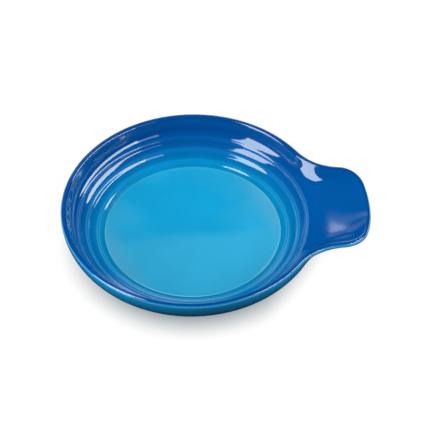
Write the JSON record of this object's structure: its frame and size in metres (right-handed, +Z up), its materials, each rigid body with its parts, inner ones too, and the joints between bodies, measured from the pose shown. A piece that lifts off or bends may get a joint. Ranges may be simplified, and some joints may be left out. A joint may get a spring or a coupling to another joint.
{
  "type": "spoon rest",
  "caption": "Round shallow glazed stoneware spoon rest with raised rings round its flat floor, a rounded lip, a scooped handle tab and a bare foot ring.",
  "frame": {"origin": "on the dish's axis at the plane of the foot ring, where the rest stands on the table", "axes": "+Z up from the table along the dish's axis, +X along the handle tab, +Y to the left of the tab"},
  "size_m": [0.1495, 0.127, 0.0222],
  "materials": {
    "stoneware": "matte",
    "inside_glaze": "gloss",
    "outside_glaze": "gloss"
  },
  "bodies": {
    "root": {"stoneware_body": "stoneware", "inside_glaze": "inside_glaze", "outside_glaze": "outside_glaze", "base_glaze": "outside_glaze"}
  },
  "joints": []
}
